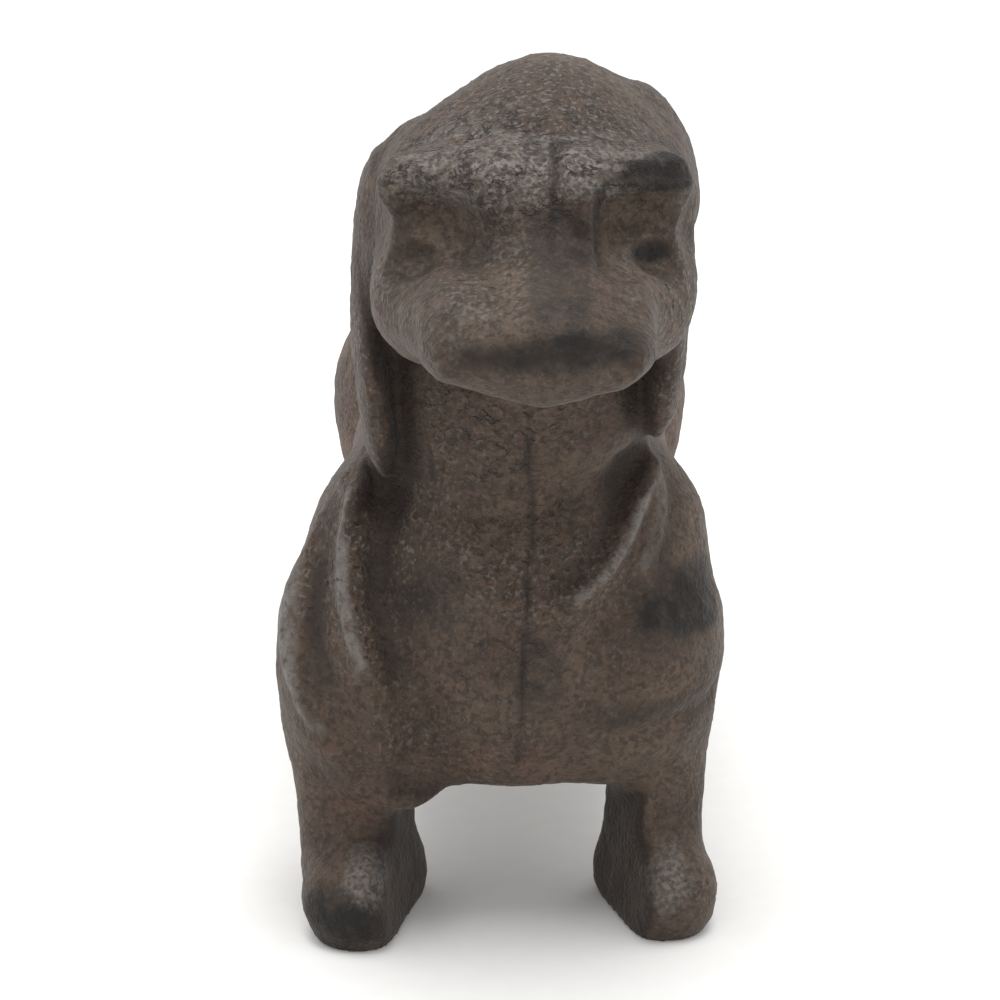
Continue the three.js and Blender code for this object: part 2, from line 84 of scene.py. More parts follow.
# %% [markdown]
# ## A kit for modelling in clay
#
# A figure like this has no straight edge and no flat, so boxes and subdivision would fight its shape.
# Instead each lump of clay is a distance function: for any points it gives how far they are from the lump's
# surface, with less than zero inside. Lumps are added or pressed in one after the other, and a blend width
# melts each into the rest, as a thumb does. The solid was made from the same lumps in the same order.

# %% Lumps of clay


def ball(centre, radii, turn=(0, 0, 0)):
    """An oval lump, turned about its own centre by angles in radians."""
    centre = np.array(centre, float)
    radii = np.array(radii, float)
    back = np.array(Euler(turn, "ZYX").to_matrix())

    def distance(p):
        local = (p - centre) @ back
        near = np.linalg.norm(local / radii, axis=1)
        slope = np.linalg.norm(local / radii**2, axis=1)
        return np.where(slope > 1e-9, near * (near - 1) / np.maximum(slope, 1e-9), -radii.min())

    def far(p):
        return np.linalg.norm(p - centre, axis=1) - radii.max()

    return distance, far


def roll(start, start_radius, end, end_radius):
    """A roll of clay between two points, with a round end of its own size at each."""
    start = np.array(start, float)
    along = np.array(end, float) - start
    reach = np.linalg.norm(along) / 2 + max(start_radius, end_radius)

    def distance(p):
        t = np.clip((p - start) @ along / (along @ along), 0, 1)
        off = np.linalg.norm(p - start - t[:, None] * along, axis=1)
        return off - (start_radius + (end_radius - start_radius) * t)

    def far(p):
        return np.linalg.norm(p - start - along / 2, axis=1) - reach

    return distance, far


def everywhere(p):
    """Stands for the reach of a cut that has no end."""
    return np.full(len(p), -np.inf)


def beyond(point, normal):
    """Everything on one side of a plane, for a flat cut. The normal points to the side that stays."""
    normal = np.array(normal, float) / np.linalg.norm(normal)
    point = np.array(point, float)
    return (lambda p: (p - point) @ normal), everywhere


def archway(centre_x, half_width, top, front, back):
    """A straight archway through the clay, from under the ground to its top, along Y from front to back."""

    def distance(p):
        across = np.abs(p[:, 0] - centre_x) - half_width
        up = p[:, 2] - top
        along = np.maximum(front - p[:, 1], p[:, 1] - back)
        most = np.stack([across, up, along])
        return np.linalg.norm(np.maximum(most, 0), axis=0) + np.minimum(most.max(0), 0)

    return distance, everywhere


# %% [markdown]
# Two lumps melt into each other where their distances are nearly alike. Pressing in is the same with the
# lump's sign turned round. Points that are further from a lump than from the clay so far are skipped, which
# is what makes a few dozen lumps on a million points quick.

# %% Adding and pressing


def smooth(d, other, blend, sign):
    """The lower (sign 1) or higher (sign -1) of two distances, rounded where they meet."""
    share = np.maximum(blend - np.abs(d - other), 0) / blend
    return sign * np.minimum(sign * d, sign * other) - sign * share * share * blend / 4


def add(lump, blend):
    """A step that adds a lump to the clay."""
    distance, far = lump

    def step(d, p):
        near = far(p) <= d + blend
        d[near] = smooth(d[near], distance(p[near]), blend, 1)

    return step


def press(lump, blend):
    """A step that presses a lump out of the clay."""
    distance, far = lump

    def step(d, p):
        near = far(p) <= blend - d
        d[near] = smooth(d[near], -distance(p[near]), blend, -1)

    return step


def clay(steps, p):
    """The distance from each point to all the clay, after every step in turn."""
    d = np.full(len(p), 1e3)
    for step in steps:
        step(d, p)
    return d


# %% [markdown]
# Loose skin makes folds, and a fold is a soft ridge along a curve. The curves are drawn on the dog's front
# as it is seen from the front, so a place is only an x and a z, and each curve fades out towards the back.

# %% Folds and creases


def smooth_line(places, steps_each=4):
    """Points on a smooth curve through places: a Catmull-Rom spline."""
    places = np.array(places, float)
    ends = np.vstack([2 * places[0] - places[1], places, 2 * places[-1] - places[-2]])
    t = np.linspace(0, 1, steps_each, endpoint=False)[:, None]
    line = []
    for a, b, c, d in zip(ends, ends[1:], ends[2:], ends[3:]):
        bend = (2 * a - 5 * b + 4 * c - d) * t**2 + (3 * (b - c) + d - a) * t**3
        line.append(b + (c - a) * t / 2 + bend / 2)
    return np.vstack([*line, places[-1:]])


def off_line(places, p, back_end=-2):
    """How far each point is from a curve drawn on the front, in millimetres."""
    line = smooth_line(places)
    seen = p[:, [0, 2]]
    nearest = np.full(len(p), np.inf)
    for a, b in zip(line, line[1:]):
        t = np.clip((seen - a) @ (b - a) / ((b - a) @ (b - a)), 0, 1)
        nearest = np.minimum(nearest, np.linalg.norm(seen - a - t[:, None] * (b - a), axis=1))
    return np.hypot(nearest, np.maximum(p[:, 1] - back_end, 0) / 2)


def fold(places, width, height, back_end=-2):
    """A step that raises a fold along a curve, or sinks a crease where the height is less than zero."""
    low = np.min(places, axis=0) - 2.5 * width
    high = np.max(places, axis=0) + 2.5 * width

    def step(d, p):
        seen = p[:, [0, 2]]
        near = (np.abs(d) < 4 * width) & (seen > low).all(1) & (seen < high).all(1)
        near &= p[:, 1] < back_end + 5 * width
        d[near] -= height * np.exp(-((off_line(places, p[near], back_end) / width) ** 2))

    return step


# %% [markdown]
# ## The dog, lump by lump
#
# These are the sizes that a breeder or a pattern maker would ask for, with the dog standing on the ground
# at z = 0 and looking along -Y. The casting isn't quite even: the head sits to one side, and the shoulders
# lean the other way.

# %% Sizes, in millimetres
CROWN_HEIGHT = round(cad_high[2])
BACK_HEIGHT = 64
BELLY_HEIGHT = 17
TRUNK_LENGTH = 118
TRUNK_WIDTH = 36
HIP_WIDTH = 49
SHOULDER_WIDTH = 51
STANCE_WIDTH = 46.5
NECK_WIDTH = 32
HEAD_WIDTH = 34
MUZZLE_WIDTH = 23
MUZZLE_LENGTH = 20
EAR_THICKNESS = 5.5
EAR_SPAN = 36.5
PAW_LENGTH = 21
PAW_STAGGER = 3
TAIL_LENGTH = 44
TAIL_THICKNESS = 9.5
HEAD_SHIFT = 2.2
HEAD_TURN = math.radians(0.5)
SHOULDER_SHIFT = -1.2

EYE_Z = CROWN_HEIGHT - 17
BROW_Z = CROWN_HEIGHT - 12
CHEEK_Z = CROWN_HEIGHT - 23
FOLD_Z = BACK_HEIGHT - 11  # the lower end of the throat
NECK_LENGTH = CHEEK_Z - FOLD_Z
TRUNK_Z = (BACK_HEIGHT + BELLY_HEIGHT) / 2
TRUNK_HALF_HEIGHT = (BACK_HEIGHT - BELLY_HEIGHT) / 2
BROW_Y = -26
NOSE_Y = BROW_Y - MUZZLE_LENGTH
RUMP_Y = TRUNK_LENGTH
HIP_Y = RUMP_Y - 16
SIDES = (-1, 1)
print("the throat is", NECK_LENGTH, "mm long")

# %% [markdown]
# The trunk of a short-legged hound is one long barrel: ribs, loin and rump, flat below where the breast
# bone runs, with a little hollow behind the withers. The shoulders stand out from it as heavy pads.

# %% Trunk and shoulders


def trunk():
    half = TRUNK_WIDTH / 2
    return [
        add(ball([0, 28, TRUNK_Z - 5], [half, 36, TRUNK_HALF_HEIGHT + 6]), 1),
        add(ball([0, HIP_Y * 0.6, TRUNK_Z - 2], [half, HIP_Y * 0.45, TRUNK_HALF_HEIGHT + 1]), 14),
        add(ball([0, HIP_Y - 1, TRUNK_Z + 1.5], [half + 1, 20, TRUNK_HALF_HEIGHT - 2.5]), 12),
        add(ball([0, 3, TRUNK_Z - 4], [half, 17.5, TRUNK_HALF_HEIGHT + 1]), 6),
        press(beyond([0, -8, BELLY_HEIGHT - 0.5], [0, -0.06, 1]), 3),
    ]


def shoulder(side):
    thick = 11.5
    x = side * (SHOULDER_WIDTH / 2 - thick) + SHOULDER_SHIFT
    higher = 3 if side > 0 else 0
    return [
        add(ball([x, 3, TRUNK_Z - 13 + higher], [thick, 14, 20 - higher], [0, side * 0.06, 0]), 4),
        add(ball([x * 0.74, 6, TRUNK_Z + 0.5], [8.5, 13, 11]), 5),
        add(ball([side * 11.5, 6, TRUNK_Z + 4.5], [10.2, 12, 9]), 4),
    ]


# %% [markdown]
# The forelegs are short posts on paws whose toes point outwards, and their inner sides are cut flat from
# the heel to the toes. The hind legs have a round haunch, a narrower shank and a long flat paw.

# %% Legs


def foreleg(side):
    out = STANCE_WIDTH / 2
    back = PAW_STAGGER if side > 0 else 0
    x = out - 7.45 if side > 0 else 5.05 - out
    toe = np.array([side * (out - 5.9), -8.3 + back, 3.6])
    heel = np.array([side * (out - 9.2), PAW_LENGTH - 17, 3.4])
    shank = side * (out - 8)
    along = (toe - heel)[:2]
    normal = [-along[1] * side, along[0] * side, -0.1 * np.linalg.norm(along)]
    inner_heel = [side * (out - 14), heel[1] + 1, 0]
    post = [
        add(roll([x, 1, BELLY_HEIGHT + 7], 6.8 if side > 0 else 7.2, [x, -2 + back / 2, 7], 5.9), 2),
        add(roll([shank, heel[1] - 1, BELLY_HEIGHT + 1], 4.2, [shank, heel[1] - 1, 6], 4.2), 4),
        add(roll(heel, 4.9, toe, 5.4), 3),
        add(ball([toe[0], toe[1] + 0.4, 5], [5.1, 5.9, 4.9]), 4),
        press(beyond(inner_heel, normal), 1.4),
    ]
    return (lambda p: clay(post, p)), (lambda p: np.linalg.norm(p - [x, 0, 14], axis=1) - 30)


def hindleg(side):
    out = HIP_WIDTH / 2
    x = side * (STANCE_WIDTH / 2 - 8.5)
    hock = [x, HIP_Y + 5, 12]
    heel = [x, HIP_Y + 4, 2.6]
    toe = [x + side * 0.8, HIP_Y + 13 - PAW_LENGTH, 2.6]
    return [
        add(ball([side * (out - 11), HIP_Y + 1, TRUNK_Z - 5.5], [11, 16, 13.5], [0.15, 0, 0]), 6),
        add(roll([side * (out - 12), HIP_Y - 4, TRUNK_Z - 15.5], 8.5, hock, 6.6), 6),
        add(roll(hock, 6.4, heel, 5.6), 3),
        add(roll(heel, 5.4, toe, 5.6), 3),
    ]


# %% [markdown]
# The tail leaves the rump in line with the back and droops. It is a string of short rolls on a curve, each
# a little thinner than the one before.

# %% Tail


def tail():
    joints = 12

    def place(t):
        y = RUMP_Y - 9 + TAIL_LENGTH * (0.62 * t + 0.2 * math.sin(t * 2))
        return [0, y, BACK_HEIGHT - 13 - TAIL_LENGTH * 0.6 * t * t]

    def thick(t):
        return TAIL_THICKNESS / 2 * (1 - 0.45 * t)

    steps = [add(roll(place(-0.1), thick(-0.3), place(0.2), thick(0.2)), 8)]
    for i in range(2, joints):
        t0 = i / joints
        t1 = (i + 1) / joints
        steps.append(add(roll(place(t0), thick(t0), place(t1), thick(t1)), 3 if i == 2 else 0.3))
    return steps


# %% [markdown]
# The neck is a short barrel that ends below in a soft fold. From there loose skin runs in folds over both
# shoulders, and there is a crease at one elbow. These folds are what catches the light on the dog's front.

# %% Neck and loose skin


def neck():
    half = NECK_WIDTH / 2
    dewlap = np.array([
        [-half, FOLD_Z + 1],
        [-half + 4.5, FOLD_Z + 1.2],
        [0.5, FOLD_Z + 1.6],
        [half - 6, FOLD_Z + 4.5],
        [half - 1, FOLD_Z + 8],
    ])
    below = dewlap * [1.03, 1] - [0, 3.6]
    throat = ball([0.2, 0, FOLD_Z + NECK_LENGTH * 0.45], [half, 14.5, NECK_LENGTH * 0.54], [-0.12, 0.1, 0])
    return [
        add(roll([0, 14, BACK_HEIGHT - 11], 14, [1, 0, FOLD_Z + NECK_LENGTH * 0.6], 14), 8),
        add(throat, 3),
        add(ball([1.5, -2, CHEEK_Z], [half - 0.5, 13, NECK_LENGTH * 0.58]), 6),
        fold(dewlap, 3, 0.8),
        fold(below, 1.8, -0.4),
    ]


def loose_skin():
    out = SHOULDER_WIDTH / 2
    left_rim = [
        [-out + 7, FOLD_Z - 2],
        [-out + 3.6, FOLD_Z - 7],
        [-out + 1.6, FOLD_Z - 14],
        [-out + 0.8, FOLD_Z - 22],
        [-out + 2.4, FOLD_Z - 28],
        [-out + 6, FOLD_Z - 31],
    ]
    left_front = np.array([
        [-out + 8, FOLD_Z - 1],
        [-out + 7.4, FOLD_Z - 12],
        [-out + 11, FOLD_Z - 24],
        [-out + 11.5, FOLD_Z - 30],
    ])
    right_front = np.array([
        [out - 9.6, FOLD_Z + 5],
        [out - 10.8, FOLD_Z],
        [out - 14.5, FOLD_Z - 7],
        [out - 18, FOLD_Z - 12],
    ])
    right_side = [
        [out - 8, FOLD_Z - 0.5],
        [out - 9, FOLD_Z - 5],
        [out - 11.5, FOLD_Z - 9],
    ]
    elbow = [
        [out - 14, FOLD_Z - 28.5],
        [out - 8, FOLD_Z - 27],
        [out - 2, FOLD_Z - 25.5],
    ]
    return [
        fold(left_rim, 2, 1.1),
        fold(left_front, 2.2, 1.4),
        fold(left_front + [4, 0], 2.4, -0.8),
        fold(right_front, 2, 1.1),
        fold(right_front + [2.6, -2.4], 1.7, -0.7),
        fold(right_side, 1.8, 0.8),
        fold(elbow, 1.3, -0.8),
    ]


# %% [markdown]
# The head is a broad skull with brows that overhang two deep sockets, round cheeks and a blunt muzzle. It
# is built straight and then moved: every point is carried into the head's own frame before a lump is asked
# for its distance.

# %% Head and ears


def on_the_head(lump):
    """A lump that is given in the head's own frame."""
    distance, far = lump
    c = math.cos(HEAD_TURN)
    s = math.sin(HEAD_TURN)
    pivot = np.array([HEAD_SHIFT, -6, 0])

    def into(p):
        return (p - pivot) @ np.array([[c, -s, 0], [s, c, 0], [0, 0, 1]]) + [0, pivot[1], 0]

    return (lambda p: distance(into(p))), (lambda p: far(into(p)))


def head():
    half = HEAD_WIDTH / 2
    muzzle = MUZZLE_WIDTH / 2

    def added(lump, blend):
        return add(on_the_head(lump), blend)

    def pressed(lump, blend):
        return press(on_the_head(lump), blend)

    steps = [
        added(ball([0.4, -7, CROWN_HEIGHT - 15], [half - 0.4, 18, 12.2]), 4),
        added(ball([2, -5.5, CROWN_HEIGHT - 9], [8, 13, 8.4]), 7),
        added(ball([0.8, -14, CROWN_HEIGHT - 13.5], [15.2, 15, 9.2]), 5),
    ]
    for side in SIDES:
        brow_end = [side * (half - 4), BROW_Y + 5, BROW_Z + 1.2]
        brow = roll(brow_end, 3.6, [side * 4, BROW_Y + 0.6, BROW_Z + 2], 3.4)
        jowl_x = 6.7 if side > 0 else -8.4
        jowl = ball([jowl_x, BROW_Y - 3, CHEEK_Z], [6, 13, 5.2], [0, 0, -side * 0.34])
        steps += [
            added(brow, 3),
            added(ball([side * (half - 6), BROW_Y + 8, CHEEK_Z + 0.5], [6, 9.5, 7.6]), 5),
            added(jowl, 4),
        ]
    steps += [
        added(roll([0.8, BROW_Y + 3.4, EYE_Z + 0.2], 6.2, [0.8, NOSE_Y + 6, CHEEK_Z - 1.8], 4), 3.5),
        added(ball([0.6, BROW_Y - 6, CHEEK_Z - 0.6], [9.5, 13, 5]), 3),
        added(ball([0.5, NOSE_Y + 8.5, CHEEK_Z - 1.6], [muzzle - 0.4, 8.2, 4]), 3),
        pressed(beyond([0, NOSE_Y + 1, CHEEK_Z], [0, 1, 0.3]), 2.5),
    ]
    for side in SIDES:
        eye = side * (half - 5.4)
        tilt = [0, side * 0.3, side * 0.3]
        socket = ball([eye + side * 0.9, BROW_Y - 5, EYE_Z + 2.8], [6.4, 8, 4.8], tilt)
        temple = ball([side * (half + 1.4), BROW_Y + 6, EYE_Z + 1.4], [3, 7, 3.6])
        steps += [
            pressed(temple, 2),
            pressed(socket, 1.6 if side > 0 else 2.6),
            added(ball([eye - side * 0.8, BROW_Y + 6.2, EYE_Z - 0.4], [3.6, 4.6, 3.6]), 2),
            pressed(ball([eye + side * 1.6, BROW_Y + 0.6, EYE_Z - 0.8], [2.4, 1.7, 1.7]), 2),
        ]
    left_lip = [[-6.9, CHEEK_Z + 5.5], [-8.2, CHEEK_Z + 2.5], [-8.4, CHEEK_Z - 1], [-7.4, CHEEK_Z - 4]]
    right_lip = [[13.7, CHEEK_Z + 3.5], [13.3, CHEEK_Z + 0.5], [12.5, CHEEK_Z - 2], [11.2, CHEEK_Z - 4]]
    steps += [fold(lip, 1.7, 0.6, BROW_Y - 6) for lip in (left_lip, right_lip)]
    return steps


def ear(side):
    half = EAR_THICKNESS / 2
    x = side * (EAR_SPAN / 2 - half) + 0.5
    root = [x, 0, EYE_Z + 4.6] if side > 0 else [x + 2.6, -1, EYE_Z + 0.4]
    tip = FOLD_Z + (7 if side > 0 else 2.5)
    wide = 8.5
    lobe_middle = [x + 0.8 if side > 0 else x, -4, (CHEEK_Z + tip) / 2 - 1]
    lobe = ball(lobe_middle, [half - 0.5, wide + 1, (CHEEK_Z - tip) / 2 + 1.5], [0, side * 0.1, 0])
    return [
        add(ball(root, [half + 1, wide - 1, 8.5], [0, -side * 0.3, 0]), 3),
        add(ball([x - side * 0.6, -2, EYE_Z - 7], [half, wide, 13]), 2.5),
        add(lobe, 1.6),
    ]


# %% The whole figure
figure = trunk() + shoulder(-1) + shoulder(1)
figure.append(press(archway(-0.5, STANCE_WIDTH / 2 - 11, BELLY_HEIGHT - 0.5, NOSE_Y, 22), 2))
figure.append(add(ball([11 - STANCE_WIDTH / 2, -4, BELLY_HEIGHT], [4, 7, 2]), 1.5))
figure += [add(foreleg(side), 1.5) for side in SIDES]
figure += hindleg(-1) + hindleg(1)
figure.append(press(archway(0, STANCE_WIDTH / 2 - 15, BELLY_HEIGHT + 2, HIP_Y - 28, RUMP_Y + 12), 3))
figure += loose_skin() + neck() + tail() + ear(-1) + ear(1) + head()
SOLE_DEPTH = 0.8  # the clay goes on below ground by this much, and is laid flat


def figure_distance(p):
    return np.maximum(clay(figure, p), -p[:, 2] - SOLE_DEPTH)


print("the figure has", len(figure), "steps")

# %% [markdown]
# ## From clay to a mesh
#
# The clay's skin is found on a grid: a cell whose corners aren't all inside or all outside holds a piece of
# it. Such a cell gets one vertex, and the four cells round a grid edge that the skin crosses share a quad.
# It gives even quads that follow the form, and a closed mesh. Cells are a little over half a millimetre
# where the carving is, and longer along the trunk, which only runs straight: that is how the mesh keeps to
# a budget of 200,000 triangles.

# %% The grid


def grid_lines(start, end, cell_at):
    lines = [start]
    while lines[-1] < end:
        lines.append(lines[-1] + cell_at(lines[-1]))
    return np.array(lines)


FINE_CELL = 0.58
LONG_CELL = 2 * FINE_CELL
CHEST_END = 4  # from here on, along Y, the cells grow
SHOULDER_END = 24
SIDE_REACH = 31
TOP_REACH = CROWN_HEIGHT + 4


def cell_along(y):
    """Fine up to the chest, then growing over the shoulders to the trunk's long cells."""
    t = np.clip((y - CHEST_END) / (SHOULDER_END - CHEST_END), 0, 1)
    return FINE_CELL + (LONG_CELL - FINE_CELL) * t


lines = (
    grid_lines(-SIDE_REACH, SIDE_REACH, lambda x: FINE_CELL),
    grid_lines(NOSE_Y - 4, RUMP_Y + TAIL_LENGTH, cell_along),
    grid_lines(-4, TOP_REACH, lambda z: FINE_CELL),
)
grid_size = tuple(len(axis) for axis in lines)
print("the grid has", grid_size, "lines")

# %% [markdown]
# Five million grid points are too many to ask. So the grid is cut into small blocks, and only a block whose
# middle is near enough to the skin is worked out in full. For the rest the middle says whether they are
# inside or outside.

# %% The distances on the grid
BLOCK = 4  # cells along each side of a block
CORNERS = [(i, j, k) for i in (0, 1) for j in (0, 1) for k in (0, 1)]


def grid_points(axes):
    return np.stack(np.meshgrid(*axes, indexing="ij"), -1)


def distances_on_grid():
    """The figure's distance at each grid point near the skin, and its block's middle distance elsewhere."""
    starts = [axis[:-1:BLOCK] for axis in lines]
    ends = [np.append(axis[BLOCK:-1:BLOCK], axis[-1]) for axis in lines]
    middles = grid_points([(start + end) / 2 for start, end in zip(starts, ends)])
    field = figure_distance(middles.reshape(-1, 3)).reshape(middles.shape[:3])
    half_sizes = grid_points([(end - start) / 2 for start, end in zip(starts, ends)])
    half_diagonal = np.linalg.norm(half_sizes, axis=-1)
    near = np.abs(field) < 1.2 * half_diagonal + 0.3
    for axis, n in enumerate(grid_size):
        last = near.shape[axis] - 1
        block_after = np.minimum(np.arange(n) // BLOCK, last)
        block_before = np.clip((np.arange(n) - 1) // BLOCK, 0, last)
        near = near.take(block_after, axis) | near.take(block_before, axis)
        field = field.take(block_after, axis)
    at = np.argwhere(near)
    field[near] = figure_distance(np.stack([axis[n] for axis, n in zip(lines, at.T)], 1))
    print(len(at), "of", field.size, "grid points worked out")
    return field


field = distances_on_grid()

# %% [markdown]
# Where two bits of skin would only touch along an edge, the mesh would pinch itself. A grid face whose
# corners are inside and outside crosswise is the sign of it, and filling one corner with clay mends it.

# %% Pinches


def corner_blocks(values, corners):
    """For each corner of a cell, the values there for all cells at once."""
    a, b, c = (n - 1 for n in values.shape)
    return [values[i:i + a, j:j + b, k:k + c] for i, j, k in corners]


def fill_pinches(field):
    filled = 0
    for axis in range(3):
        ring = [(0, 0), (1, 0), (1, 1), (0, 1)]
        around = [tuple(np.insert(step, axis, 0)) for step in ring]
        found = True
        while found:
            a, b, c, d = corner_blocks(field < 0, around)
            crosswise = np.argwhere((a == c) & (b == d) & (a != b))
            found = len(crosswise) > 0
            filled += len(crosswise)
            for cell in crosswise:
                places = [tuple(cell + step) for step in around]
                outside = [place for place in places if field[place] >= 0]
                field[min(outside, key=lambda place: field[place])] = -0.01
    return filled


print(fill_pinches(field), "pinches filled")

# %% Vertices and quads
PAIRS = [(a, b) for a in CORNERS for b in CORNERS if sum(b) - sum(a) == 1]
EDGES = [(a, b) for a, b in PAIRS if all(x <= y for x, y in zip(a, b))]


def skin_cells(field):
    """The cells that the skin crosses, and for each the mean of where it crosses the cell's edges."""
    inside = sum(block.astype(np.int8) for block in corner_blocks(field < 0, CORNERS))
    cells = np.argwhere((inside > 0) & (inside < len(CORNERS)))
    total = np.zeros((len(cells), 3))
    hits = np.zeros(len(cells))
    for a, b in EDGES:
        start = cells + a
        end = cells + b
        from_value = field[tuple(start.T)]
        to_value = field[tuple(end.T)]
        cut = (from_value < 0) != (to_value < 0)
        t = from_value[cut] / (from_value[cut] - to_value[cut])
        for axis in range(3):
            low = lines[axis][start[cut, axis]]
            high = lines[axis][end[cut, axis]]
            total[cut, axis] += low + (high - low) * t
        hits[cut] += 1
    return cells, total / hits[:, None]


def skin_quads(field, cells):
    """A quad for each grid edge that the skin crosses, between the four cells round it."""
    index = np.full(field.shape, -1, np.int32)
    index[tuple(cells.T)] = np.arange(len(cells))
    inside = field < 0
    quads = []
    for axis in range(3):
        here = np.moveaxis(inside, axis, 0)
        crossed = np.moveaxis(here[:-1] != here[1:], 0, axis)
        at = np.argwhere(crossed)
        side = np.eye(3, dtype=int)
        u = side[(axis + 1) % 3]
        v = side[(axis + 2) % 3]
        ring = np.stack([index[tuple((at - step).T)] for step in (u + v, v, 0 * u, u)], 1)
        leaving = inside[tuple(at.T)]
        quads.append(np.where(leaving[:, None], ring, ring[:, ::-1]))
    return np.vstack(quads)


cells, points = skin_cells(field)
quads = skin_quads(field, cells)
print(len(points), "vertices and", len(quads), "quads")
assert quads.min() >= 0, "the skin runs out of the grid"

# %% [markdown]
# The means lie a little off the skin, which would show as faint steps. So each vertex is moved along the
# steepest way to where the distance is nought, inside its own cell. The same slope gives the true normal
# there.

# %% Onto the skin
PROBE = 0.05  # how far apart two distances are taken to find the slope


def slope_at(distance, p):
    here = distance(p)
    return here, np.stack([(distance(p + step) - here) / PROBE for step in PROBE * np.eye(3)], 1)


low = np.stack([axis[n] for axis, n in zip(lines, cells.T)], 1)
high = np.stack([axis[n + 1] for axis, n in zip(lines, cells.T)], 1)
margin = 0.08 * (high - low)
for turn in range(3):
    off, slope = slope_at(figure_distance, points)
    points -= (off / np.maximum((slope**2).sum(1), 1e-9))[:, None] * slope
    points = np.clip(points, low + margin, high - margin)
off, slope = slope_at(figure_distance, points)
normals = slope / np.maximum(np.linalg.norm(slope, axis=1), 1e-9)[:, None]
points[:, 2] = np.maximum(points[:, 2], 0)
print("the vertices lie within", round(float(np.percentile(np.abs(off), 99)), 3), "mm of the skin")

# %% [markdown]
# ## The sand's skin
#
# A casting keeps the print of the sand it was poured in: faint waves from the ramming, a grain of about
# half a millimetre, cracks where the mould's face tore. All of that is pushed along the normals of the
# mesh. Each kind of mark is a field over the surface, so each can be laid where the real one is, and they
# simply add up.

# %% Noise over the surface


def cloud(size, seed):
    """Soft noise between about -1 and 1, with lumps of a given size in millimetres."""
    shift = np.array([seed * 17.3, seed * 5.1, seed * 11.7])
    return np.array([noise.noise(Vector(place)) for place in points / size + shift]) * 1.6


def soft_step(low, high, value):
    """Nought below one value, one above another, and a smooth ramp between them."""
    t = np.clip((value - low) / (high - low), 0, 1)
    return t * t * (3 - 2 * t)


def patch(centre, radii, edge=0.5):
    """One in the middle of an oval seen from the front, and nought outside it and towards the back."""
    off = np.linalg.norm((points[:, [0, 2]] - centre) / radii, axis=1)
    return (1 - soft_step(1 - edge, 1 + edge, off)) * front


skin_points = points.copy()
on_head = skin_points[:, 2] > CHEEK_Z - 4
front = 1 - soft_step(np.where(on_head, BROW_Y + 8, 0), np.where(on_head, BROW_Y + 22, 12), points[:, 1])
grounded = soft_step(0.2, 2, points[:, 2])
print("the front has", int(front.sum()), "of", len(points), "vertices")

# %% [markdown]
# The waves come first, then dents, then a grain of a little over a millimetre, the finest that this mesh
# can hold. The sand's own grain is finer and is left to the material. A crack in the mould's face leaves a
# thin line. Those lines meet in corners as a net does, so they are drawn where a point is as near to its
# second nearest seed as to its nearest. The forehead and the worn brows have most of them, then the middle
# of the chest.

# %% Waves, grain and cracks


def cracks(size, width, seed):
    """One on the thin lines of a net with meshes of a given size, nought elsewhere."""
    wander = np.stack([cloud(size * 0.7, seed + n) for n in range(3)], 1) * size * 0.28
    found = np.empty(len(points))
    for n, place in enumerate((points + wander) / size + seed):
        near = noise.voronoi(Vector(place))[0]
        found[n] = near[1] - near[0]
    return np.exp(-((found * size / width) ** 2))


wave = cloud(12, 1)
dent = cloud(3.6, 2)
grain = cloud(1.25, 3)
net = cracks(3.8, 0.6, 4)
long_net = cracks(7, 0.6, 5)
broken = soft_step(-0.15, 0.45, cloud(5, 6))  # a crack comes and goes
brows = patch([-0.5, 91.5], [16, 4.2])
crown = patch([1, 96], [13, 5])
forehead = np.maximum(brows, 0.7 * crown)
chest = patch([0.5, 42], [8, 26])
throat = patch([-3, 64], [10, 7])
relief = 0.16 * wave + (0.11 + 0.05 * forehead) * dent + 0.07 * grain
relief -= 0.4 * net * broken * forehead
relief -= 0.32 * long_net * broken * np.maximum(0.9 * chest, throat)
print("relief so far between", round(relief.min(), 2), "and", round(relief.max(), 2), "mm")

# %% [markdown]
# Some marks have their own place: the slit where the two halves of the mould met between the brows, the
# raised strip down the bridge of the nose, the line of the mouth, the edges of the folds. They are lines
# drawn on the front, like the folds before, but much thinner.

# %% Lines drawn on the front


def drawn(places, width):
    """One on a curve given as x and z, seen from the front, and fading to both sides and to the back."""
    places = np.array(places, float)
    seen = skin_points[:, [0, 2]]
    near = (seen > places.min(0) - 3 * width).all(1) & (seen < places.max(0) + 3 * width).all(1)
    near &= front > 0
    result = np.zeros(len(points))
    back_end = BROW_Y + 10 if places[:, 1].min() > CHEEK_Z - 4 else -2
    result[near] = np.exp(-((off_line(places, skin_points[near], back_end) / width) ** 2))
    return result * front


slit = drawn([[4.2, 94.2], [4.35, 92], [4.15, 90], [4.3, 88.7]], 0.5)
loop = drawn([[4, 84.8], [3.9, 87], [4.9, 88], [6.2, 87.2], [7, 85.4]], 0.4)
mouth = drawn([[-4.4, 76], [-1.5, 76.2], [1.2, 76], [3.4, 76.7], [6, 76.8], [8.8, 77.2], [12, 75.4]], 0.75)
parting = drawn([[1.6, 60], [2.2, 52], [1.9, 44], [1.2, 34], [0.8, 22]], 0.35)
